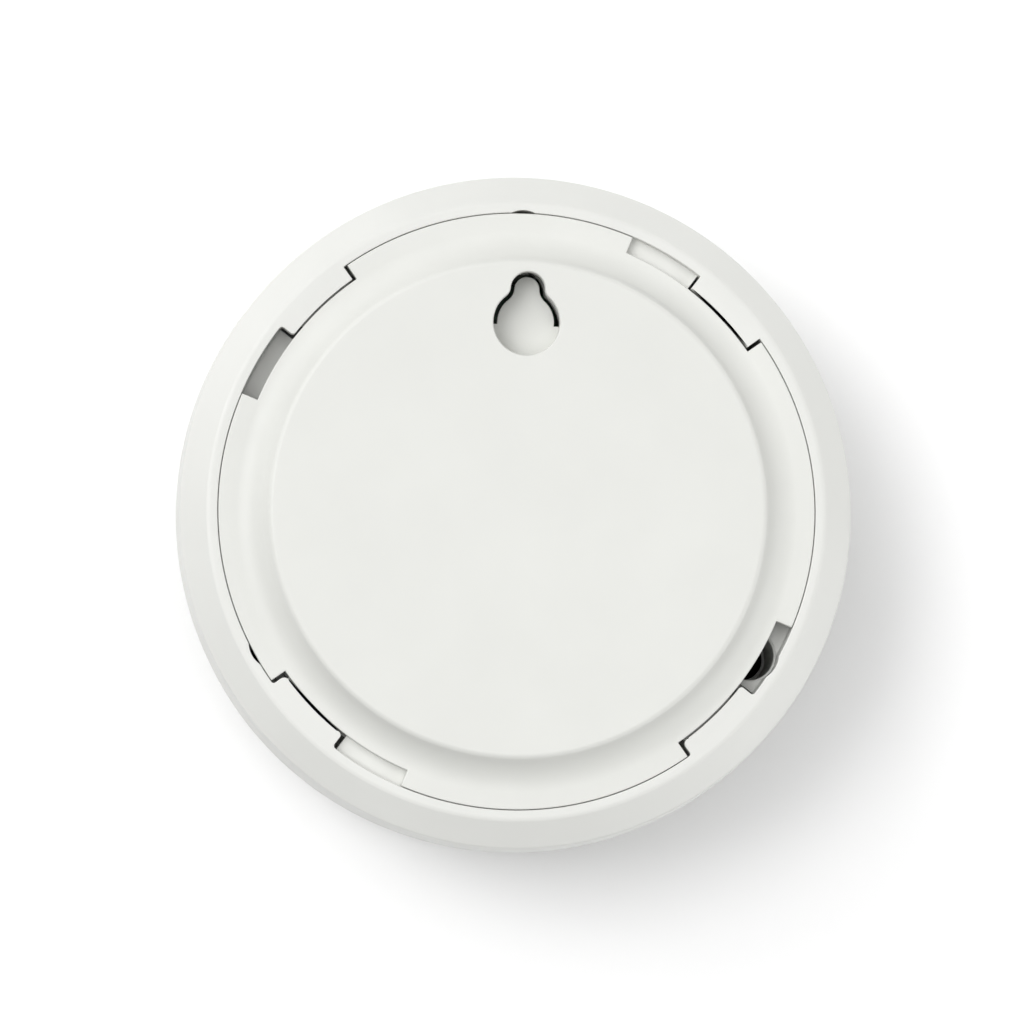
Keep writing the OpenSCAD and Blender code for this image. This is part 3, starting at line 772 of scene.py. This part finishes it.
def make_rear_housing():
    slope_z = LAND_Z - SLOPE_DROP
    floor_z = RECESS_Z - FLOOR_T
    bottom_round = arc(RECESS_R - 0.3, RECESS_Z + 0.3, 0.3, 270, 360, 4)
    inner_edge = arc(RECESS_R + EDGE, LAND_Z - EDGE, EDGE, 180, 90, 5)
    slope_angle = math.degrees(math.atan2(SLOPE_DROP, SLOPE_R - LAND_R))
    land_round = 1.6
    land_edge = arc(LAND_R - 0.1, LAND_Z - land_round, land_round, 90, 90 - slope_angle, 6)
    corner = 0.55
    slope_edge = arc(SLOPE_R - corner, slope_z - corner - 0.12, corner, 90 - slope_angle, 3, 7)
    split_edge = [(BODY_R, SPLIT_Z + 0.3), (BODY_R - 0.22, SPLIT_Z)]
    inside = [(BODY_R - WALL, SPLIT_Z), (SLOPE_R - WALL, slope_z - WALL)]
    inside += [(LAND_R + WALL, slope_z - WALL), (LAND_R + WALL - 0.8, floor_z)]
    section = [(0, RECESS_Z)] + bottom_round + inner_edge + land_edge + slope_edge + split_edge
    housing = revolve("rear_housing", section + inside + [(0, floor_z)])

    lug_levels = rounded_levels(LAND_Z - LUG_T, LAND_Z, 0.08, 0.1)
    window_levels = [(floor_z - 1, 0), (RECESS_Z + 1, 0)]
    lugs = []
    windows = []
    pads = []
    pad_levels = [(RECESS_Z - 0.2, 0), (PAD_Z, 0)]
    for i, (start, end, past) in enumerate(LUG_SHAPES):
        lug = bay(LUG_R, RECESS_R + 0.6, RECESS_R, 0, LUG_SPAN, start, end)
        stop = LUG_SPAN + math.degrees(past / LUG_R)
        rim = RECESS_R - 0.05
        window = bay(LUG_R - 0.1, rim, rim, -WINDOW_LEAD, stop, (0.2, 0.01), (0.2, 0.01))
        turn = 45 - LUG_SPAN / 2 + i * 360 / LUG_COUNT
        lugs.append(turned(prism("lug", lug, lug_levels), turn))
        windows.append(turned(prism("window", window, window_levels), turn))
        if i in PADS:
            first = stop + math.degrees(0.1 / LUG_R)
            pad = bay(PAD_R, RECESS_R + 0.2, RECESS_R + 0.2, first, PAD_END, (0.1, 0.01), (0.1, 0.01))
            pads.append(turned(prism("pad", pad, pad_levels), turn))
    relief = keyhole_relief(floor_z)
    cut(housing, relief, *windows)
    bosses = copies(lambda: moved(rod("boss", BOSS_R, BOSS_Z, floor_z + 0.2), SCREW_PITCH_R), SCREW_ANGLES)
    skin = 1.3
    tub = block(
        "tub",
        (-POCKET_X - skin, CELL_Y - POCKET_Y - skin, POCKET_BOTTOM_Z - skin),
        (POCKET_X + skin, CELL_Y + POCKET_Y + skin, RECESS_Z - 1),
        corner=1.5,
    )
    join(housing, *lugs, *pads, *bosses, tub)

    spot_z = RECESS_Z - 0.3
    bulge = mouth_levels(spot_z, LAND_Z, 0.06)
    bore = mouth_levels(HEAD_Z, spot_z, 0.2, 0.5)
    shank = [(BOSS_Z - 1, 0), (HEAD_Z + 1, 0)]
    pocket = block(
        "pocket",
        (-POCKET_X, CELL_Y - POCKET_Y, POCKET_BOTTOM_Z),
        (POCKET_X, CELL_Y + POCKET_Y, RECESS_Z + 1),
        corner=0.8,
    )
    slits = [
        block("slit", (x - 1.2, -15.15, -15.53), (x + 1.2, -13.05, -14.87), corner=0.1)
        for x in (-POCKET_X - skin / 2, POCKET_X + skin / 2)
    ]
    cut(
        housing,
        *copies(lambda: moved(prism("bulge", circle(BULGE_R, 72), bulge), SCREW_PITCH_R), SCREW_ANGLES),
        *copies(lambda: moved(prism("bore", circle(COUNTERBORE_R, 72), bore), SCREW_PITCH_R), SCREW_ANGLES),
        *copies(lambda: moved(prism("shank", circle(1.7, 32), shank), SCREW_PITCH_R), SCREW_ANGLES),
        pocket,
        *slits,
    )
    saddles = []
    for x in (-9, 9):
        low = (x - 2, CELL_Y - POCKET_Y - 0.1, POCKET_BOTTOM_Z - 0.1)
        high = (x + 2, CELL_Y + POCKET_Y + 0.1, CELL_Z - 2)
        seat = turned(rod("seat", CELL_R + 0.4, -6, 6), 90, "Y")
        saddles.append(cut(block("saddle", low, high, corner=0.05), moved(seat, x, CELL_Y, CELL_Z)))
    join(housing, *saddles)
    turned(housing, REST_TURN)
    return dress(housing, WHITE_HOUSING, "alarm", "rear_housing")


# ---- Front cover ----


def add_cover_supports(cover):
    """Screw bosses, board posts, the button's collar, the horn's rest and the lid's pins."""
    inner_z = FRONT_Z + WALL
    root_z = inner_z - 0.2
    boss_r, post_r, pin_r = 3.4, 2.5, 1.2
    collar_r = BUTTON_R + 1.7
    collar_top_z = inner_z + 2.2
    rest_r = 9
    pin_dist = 12
    chamber = polar(CHAMBER_AT[0], 0, CHAMBER_AT[1])
    bosses = copies(
        lambda: moved(rod("boss", boss_r, root_z, BOSS_Z, high_round=0.2), SCREW_PITCH_R),
        SCREW_ANGLES,
    )
    posts = [moved(rod("post", post_r, root_z, BOARD_Z, high_round=0.2), x, y) for x, y in POSTS]
    collar = revolve("collar", ring_section(collar_r, collar_r + 1, root_z, collar_top_z), 96)
    rest = at(revolve("rest", ring_section(rest_r, rest_r + 1, root_z, HORN_Z), 96), HORN_AT)
    pins = copies(
        lambda: moved(rod("pin", pin_r, root_z, LID_Z, high_round=0.15), pin_dist),
        (-30, 30, 90),
    )
    pins = [moved(pin, *chamber) for pin in pins]
    join(cover, *bosses, *posts, collar, rest, *pins)


def cut_cover_holes(cover):
    """Button opening, sounder grille and the blind holes for the screws."""
    grille_r, screw_r, post_r = 0.9, 1.5, 1.05
    through = through_levels(FRONT_Z, FRONT_Z + WALL, 0.2)
    grille = [(0.0, 0.0)]
    grille += [(ring * GRILLE_PITCH, i * 60 / ring) for ring in (1, 2) for i in range(6 * ring)]
    holes = []
    for r, angle in grille:
        hole = moved(prism("hole", circle(grille_r, 24), through), *polar(r or 1e-9, 0, angle))
        holes.append(at(hole, HORN_AT))
    screw_levels = mouth_levels(SCREW_TIP_Z - 1, BOSS_Z, 0.3)
    screw_holes = copies(
        lambda: moved(prism("hole", circle(screw_r, 32), screw_levels), SCREW_PITCH_R),
        SCREW_ANGLES,
    )
    post_levels = mouth_levels(BOARD_Z - 8, BOARD_Z, 0.25)
    post_holes = [moved(prism("hole", circle(post_r, 24), post_levels), x, y) for x, y in POSTS]
    mouth = through_levels(FRONT_Z, FRONT_Z + WALL, 0.3)
    opening = prism("opening", circle(BUTTON_R + 0.25, 144), mouth)
    cut(cover, opening, merged(holes), *screw_holes, *post_holes)


def make_front_cover():
    side_r = FRONT_FLAT_R + FRONT_ROUND
    corner_z = FRONT_Z + FRONT_ROUND
    lip_r = BODY_R - WALL - 0.15
    lip_in_r = lip_r - 1.4
    lip_z = SPLIT_Z + 1.4
    outside = arc(FRONT_FLAT_R, corner_z, FRONT_ROUND, 270, 360, 24)
    outside += [(BODY_R, SPLIT_Z - 0.5), (BODY_R - 0.25, SPLIT_Z)]
    lip = [(lip_r, SPLIT_Z), (lip_r, lip_z), (lip_in_r, lip_z), (lip_in_r, SPLIT_Z - 1.6)]
    inside = [(BODY_R - WALL - 0.3, SPLIT_Z - 3), (side_r - WALL, corner_z)]
    inside += arc(FRONT_FLAT_R, corner_z, FRONT_ROUND - WALL, 358, 270, 20)
    section = [(0, FRONT_Z)] + outside + lip + inside + [(0, FRONT_Z + WALL)]
    cover = revolve("front_cover", section)
    slot_mid = SLOT_TOP_Z - SLOT_H / 2
    stadium = rounded_box(SLOT_H / 2, SLOT_W / 2, SLOT_W / 2 - 0.05, 6)
    levels = mouth_levels(BODY_R - 5, BODY_R - 0.28, 0.3, 1.5)
    slots = []
    for i in range(SLOT_COUNT):
        slot = turned(prism("slot", stadium, levels), 90, "Y")
        slots.append(turned(moved(slot, z=slot_mid), (i + 0.5) * 360 / SLOT_COUNT))
    cut(cover, merged(slots))

    add_cover_supports(cover)
    cut_cover_holes(cover)
    turned(cover, REST_TURN)
    return dress(cover, WHITE_HOUSING, "alarm", "front_cover")


# ---- Screws ----


def pan_head(r, low, high, steps=64):
    """Domed head with a tapered cross recess."""
    height = high - low
    dome = [(r - 0.12, low), (r, low + 0.12), (r, low + height * 0.42)]
    dome += [
        (r * math.cos(math.radians(a)), low + height * (0.42 + 0.58 * math.sin(math.radians(a))))
        for a in range(12, 90, 12)
    ]
    head = revolve("head", [(0, low)] + dome + [(0, high)], steps)
    wing, half = r * 0.6, r * 0.12
    for angle in (0, 90):
        levels = [(high - height * 0.62, -half * 0.45), (high + 0.5, 0.06)]
        cut(head, turned(prism("cross", rounded_box(wing, half, half * 0.6), levels), angle))
    return head


def make_screws(name, places, head, shank, material):
    """Screws at (x, y) places; head is (radius, low, high), shank (radius, root, pitch, tip)."""
    made = []
    r, root, pitch, tip = shank
    for place in places:
        screw = merged([pan_head(*head), threaded("thread", r, root, pitch, tip, head[1])])
        made.append(moved(screw, *place))
    return dress(turned(merged(made), REST_TURN), material, "alarm", name)


# ---- Button and light pipe ----


def make_test_button():
    face = BUTTON_Z
    flange_r, flange_z, hole_r = BUTTON_R + 1.4, FRONT_Z + WALL + 0.1, 1.85
    section = [(hole_r, BUTTON_TOP_Z), (flange_r - 0.1, BUTTON_TOP_Z), (flange_r, BUTTON_TOP_Z - 0.1)]
    section += [(flange_r, flange_z + 0.1), (flange_r - 0.1, flange_z), (BUTTON_R, flange_z)]
    section += [(BUTTON_R - 0.7 + x, face + 0.7 + y) for x, y in arc(0, 0, 0.7, 0, -90, 8)]
    dish = [(r, face + 0.32 * (1 - (r / 8.3) ** 2)) for r in (7.4, 6.2, 5.0, 3.8, 2.8)]
    section += dish + [(hole_r + 0.3, face + 0.31), (hole_r, face + 0.6)]
    button = revolve("test_button", section, 192)
    stem_z = box_mm("test_button")[1].z
    join(button, moved(rod("stem", 1.7, BUTTON_TOP_Z - 0.5, stem_z, high_round=0.3), *STEM_AT))
    turned(button, REST_TURN)
    return dress(button, WHITE_BUTTON, "button", "test_button")


def make_light_pipe():
    low, high = box_mm("light_pipe")
    foot_z = BOARD_Z - 1.9
    pipe_r, dome_h = 1.5, 0.7
    turns = [math.radians(a) for a in range(80, -1, -10)]
    dome = [(pipe_r * math.cos(a), low.z + dome_h * (1 - math.sin(a))) for a in turns]
    pipe = revolve("light_pipe", [(0, low.z)] + dome + [(pipe_r, foot_z), (0, foot_z)], 64)
    foot = block("foot", (-3.4, -1.6, foot_z - 1.4), (0.6, 1.6, foot_z), 0.1, 0.3)
    pins = [moved(rod("pin", 0.5, foot_z - 1, high.z, high_round=0.15), -2.6, y) for y in (-1, 1)]
    join(pipe, foot, *pins)
    turned(pipe, REST_TURN)
    return dress(pipe, CLEAR_LENS, "alarm", "light_pipe")


# ---- Battery and board parts ----


def make_battery():
    """Sleeved cell with a crimped shoulder, lying along X."""
    end = CELL_L - 1.1
    section = [(0, 0.25), (6.6, 0.25), (6.9, 0), (7.7, 0), (8.3, 0.25), (CELL_R, 0.7)]
    section += [(CELL_R, end - 3.4), (8.15, end - 3.1), (8.1, end - 2.6), (8.45, end - 2.2)]
    section += [(CELL_R, end - 0.7), (8.3, end - 0.25), (7.8, end), (6.2, end), (5.8, end - 0.35)]
    section += [(3.5, end - 0.35), (3.1, end), (3.1, CELL_L - 0.3), (2.8, CELL_L), (0, CELL_L)]
    cell = revolve("battery", section, 128)
    trim(cell, CAN_STEEL, lambda c: c.xy.length < 7.9)
    moved(turned(moved(cell, z=-CELL_L / 2), 90, "Y"), y=CELL_Y, z=CELL_Z)
    return dress(turned(cell, REST_TURN), SLEEVE, "alarm", "battery")


def make_capacitor():
    x, y = -17, 3
    can_r, base_t, top = 3.15, 0.9, 6.4
    section = [(0, base_t), (can_r - 0.25, base_t), (can_r, base_t + 0.3), (can_r, base_t + 0.9)]
    section += [(can_r - 0.3, base_t + 1.25), (can_r - 0.3, base_t + 1.45), (can_r, base_t + 1.8)]
    section += [(can_r, top - 0.5)] + arc(can_r - 0.5, top - 0.5, 0.5, 15, 90, 5) + [(0, top)]
    can = revolve("electrolytic_capacitor", section, 96)
    for angle in (0, 60, 120):
        groove = turned(block("vent", (-1.9, -0.09, top - 0.12), (1.9, 0.09, top + 1), corner=0.05), angle)
        cut(can, groove)
    half, chamfer = 3.4, 2.4
    outline = [(-half, -half), (half, -half), (half, chamfer), (chamfer, half)]
    outline += [(-chamfer, half), (-half, chamfer)]
    base = prism("base", outline, rounded_levels(0, base_t - 0.001, 0.08, 0.1))
    merged([can, base])
    trim(can, CAPACITOR_BASE, lambda c: c.z < base_t - 0.0005)
    moved(can, x, y, BOARD_TOP_Z)
    return dress(turned(can, REST_TURN), ALUMINIUM, "alarm", "electrolytic_capacitor")


def make_inductor():
    """Drum core with a scalloped copper winding."""
    turns = 7
    step = 3.0 / turns
    winding = [
        (2.55 + 0.25 * math.sin(math.radians(a)), 1 + step * i + step * a / 180)
        for i in range(turns)
        for a in (0, 45, 90, 135)
    ]
    section = [(0, 0), (3.85, 0), (4, 0.15), (4, 0.85), (3.85, 1)] + winding
    section += [(2.55, 4), (3.85, 4), (4, 4.15), (4, 4.85), (3.85, 5), (0, 5)]
    drum = revolve("boost_inductor", section, 96)
    trim(drum, COPPER, lambda c: 1.001 < c.z < 3.999 and c.xy.length < 2.82)
    moved(drum, 10, 24, BOARD_TOP_Z)
    return dress(turned(drum, REST_TURN), FERRITE, "alarm", "boost_inductor")


def make_optic(name, angle, material):
    """Domed lens lying along X with two leads bent up to the board."""
    nose, back, lead_x, z = 10.6, 14.6, 16.3, -24.4
    section = [(0, 0), (1.4, 0), (1.5, 0.1), (1.5, 0.7), (1.42, 0.8), (1.42, back - nose)]
    section += [
        (1.42 * math.cos(math.radians(a)), back - nose + 1.5 * math.sin(math.radians(a)))
        for a in range(10, 90, 10)
    ] + [(0, back - nose + 1.5)]
    lens = moved(turned(revolve("lens", section, 64), -90, "Y"), back, 0, z)
    leads = []
    for y in (-1.27, 1.27):
        bend = [(lead_x - 0.8 + px, y, z + 0.8 + pz) for px, pz in arc(0, 0, 0.8, -90, 0, 8)]
        leads.append(wire("lead", [(back - 0.4, y, z)] + bend + [(lead_x, y, BOARD_TOP_Z)], 0.24))
    merged([lens] + leads)
    trim(lens, CONTACT_METAL, lambda c: c.x > back + 0.001 or c.z > z + 1.6)
    lens.name = name
    turned(lens, angle)
    moved(lens, *polar(CHAMBER_AT[0], 0, CHAMBER_AT[1]))
    return dress(turned(lens, REST_TURN), material, "alarm", name)


def make_insect_screen():
    """Fine wire mesh round the chamber, between two plain bands."""
    r, count = CHAMBER_R - 0.2, 144
    low, high = LID_TOP_Z, CHAMBER_TOP_Z
    parts = [revolve("insect_screen", ring_section(r - 0.3, r, low, low + 0.6, 0.03), count)]
    parts.append(revolve("band", ring_section(r - 0.3, r, high - 0.6, high, 0.03), count))
    rows = 11
    for i in range(1, rows):
        z = low + 0.6 + (high - low - 1.2) * i / rows
        parts.append(revolve("ring", ring_section(r - 0.14, r - 0.01, z - 0.07, z + 0.07, 0.03), count))
    for i in range(count):
        bar = block("bar", (r - 0.28, -0.08, low + 0.3), (r - 0.15, 0.08, high - 0.3), corner=0.03)
        parts.append(turned(bar, (i + 0.5) * 360 / count))
    screen = merged(parts)
    moved(screen, *polar(CHAMBER_AT[0], 0, CHAMBER_AT[1]))
    return dress(turned(screen, REST_TURN), SCREEN_STEEL, "alarm", "insect_screen")


def paint(material, *nodes):
    """Finish of CAD nodes whose shape stays."""
    for node in nodes:
        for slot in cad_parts[node].material_slots:
            slot.material = material


def alarm_place(x, y, z):
    """A place on the board, turned with the alarm."""
    a = math.radians(REST_TURN)
    return (x * math.cos(a) - y * math.sin(a), x * math.sin(a) + y * math.cos(a), z)


make_mounting_plate()
make_rear_housing()
make_front_cover()
make_test_button()
make_light_pipe()
make_battery()
make_capacitor()
make_inductor()
make_optic("infrared_led", 140, TINTED_LENS)
make_optic("photodiode", 275, DARK_LENS)
make_insect_screen()
make_screws(
    "housing_screws",
    [polar(SCREW_PITCH_R, 0, a) for a in SCREW_ANGLES],
    (2.75, HEAD_Z, SCREW_HEAD_TOP_Z),
    (1.45, 1.12, 1.1, SCREW_TIP_Z),
    BLACK_STEEL,
)
make_screws(
    "board_screws",
    POSTS,
    (2.0, BOARD_TOP_Z, BOARD_TOP_Z + 1.4),
    (1.0, 0.76, 0.8, BOARD_Z - 6.5),
    SCREW_STEEL,
)
paint(BOARD, "circuit_board")
paint(BLACK_PLASTIC, "chamber_base", "chamber_lid", "sounder_horn", "sounder_cap", "switch_body")
paint(PLUNGER_PLASTIC, "switch_plunger")
paint(CONTACT_METAL, "positive_contact", "negative_contact")
paint(BRASS, "sounder_contacts")
paint(LED_LENS, "status_led")
horn_x, horn_y = polar(HORN_AT[0], 0, HORN_AT[1])
for node, place, turn, half, inner, outer in (
    ("microcontroller", (-7, 13, BOARD_TOP_Z), REST_TURN, (2.0, 5.2), CHIP_BLACK, TINNED),
    ("driver_transistor", (4, 12, BOARD_TOP_Z), REST_TURN, (3.3, 1.75), CHIP_BLACK, TINNED),
    ("piezo_disc", (horn_x, horn_y, BOARD_Z), 0, (9.5, 9.5), CERAMIC_SILVER, BRASS_TONE),
):
    paint(two_tone(node, alarm_place(*place), turn, half, inner, outer), node)
paint(moulded_plastic("ceramic", (0.16, 0.10, 0.06), rough=0.5, grain=0.003, tint=0.2), "chip_components")


# ---- Floor, light and camera ----


def make_floor():
    bm = bmesh.new()
    half = 3000
    corners = [(-half, -half), (half, -half), (half, half), (-half, half)]
    bm.faces.new([bm.verts.new((x, y, FRONT_Z)) for x, y in corners])
    floor = new_object("floor", bm)
    paint = Shader("floor", {"Roughness": 0.9, "Specular IOR Level": 0.1})
    paint.link(paint.mix(paint.noise(40, 2), (0.945, 0.945, 0.945, 1), (0.95, 0.95, 0.95, 1)), "Base Color")
    floor.data.materials.append(paint.material)


def make_light(name, azimuth, elevation, spread, strength):
    """A soft lamp far away in the direction given, whose disc is spread degrees wide."""
    lamp = bpy.data.lights.new(name, "SUN")
    lamp.angle = math.radians(spread)
    lamp.energy = strength
    obj = bpy.data.objects.new(name, lamp)
    a, e = math.radians(azimuth), math.radians(elevation)
    way = Vector((math.cos(a) * math.cos(e), math.sin(a) * math.cos(e), math.sin(e)))
    obj.rotation_mode = "QUATERNION"
    obj.rotation_quaternion = way.to_track_quat("Z", "Y")
    bpy.context.scene.collection.objects.link(obj)


def make_world(strength):
    world = bpy.data.worlds.new("studio")
    world.use_nodes = True
    background = world.node_tree.nodes["Background"]
    background.inputs["Color"].default_value = (1, 1, 1, 1)
    background.inputs["Strength"].default_value = strength
    bpy.context.scene.world = world


def make_camera():
    """The camera looks down on the back, leaning a little towards the lower left."""
    lean = math.radians(5.4)
    towards = math.radians(231)
    roll = math.radians(2.4)
    distance = 0.9
    frame_width = 0.1355
    camera = bpy.data.cameras.new("camera")
    camera.sensor_width = 36
    camera.lens = camera.sensor_width * distance / frame_width
    camera.clip_start = 0.05
    camera.clip_end = 20
    obj = bpy.data.objects.new("camera", camera)
    back = Vector((
        math.sin(lean) * math.cos(towards),
        math.sin(lean) * math.sin(towards),
        math.cos(lean),
    ))
    up = Vector((-math.sin(roll), math.cos(roll), 0))
    side = up.cross(back).normalized()
    up = back.cross(side)
    target = Vector((0, 0, LAND_Z * MM)) - side * 0.71 * MM - up * 0.19 * MM
    turn = Matrix((side, up, back)).transposed().to_4x4()
    obj.matrix_world = Matrix.Translation(target + back * distance) @ turn
    bpy.context.scene.collection.objects.link(obj)
    bpy.context.scene.camera = obj


make_floor()
make_light("overhead", 160, 75, 70, 1.75)
make_light("window", 162, 61, 25, 0.72)
make_light("low_key", 135, 28, 50, 1.0)
make_light("fill", 335, 20, 50, 1.17)
make_light("side", 40, 30, 50, 0.26)
make_world(0.1)
make_camera()
bpy.context.scene.view_settings.view_transform = "Standard"
